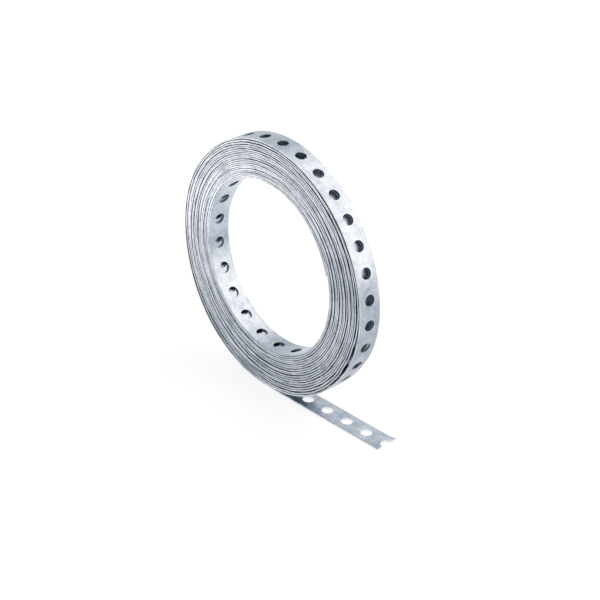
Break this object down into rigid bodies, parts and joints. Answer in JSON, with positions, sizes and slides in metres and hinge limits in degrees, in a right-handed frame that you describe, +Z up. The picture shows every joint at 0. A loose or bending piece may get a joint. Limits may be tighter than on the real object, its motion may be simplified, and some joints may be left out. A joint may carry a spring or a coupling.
{
  "type": "perforated steel strap roll",
  "caption": "Narrow roll of galvanised perforated steel strap standing on its rim, with a flat free end on the floor and one row of round fixing holes.",
  "frame": {"origin": "on the floor under the middle of the roll, at mid-width of the strap", "axes": "+X along the free end, away from the roll; +Y along the roll's axis; +Z up"},
  "size_m": [0.1397, 0.0175, 0.1292],
  "materials": {
    "galvanised_steel": "satin galvanised zinc with faint mottling"
  },
  "bodies": {
    "root": {"strap": "galvanised_steel"}
  },
  "joints": []
}
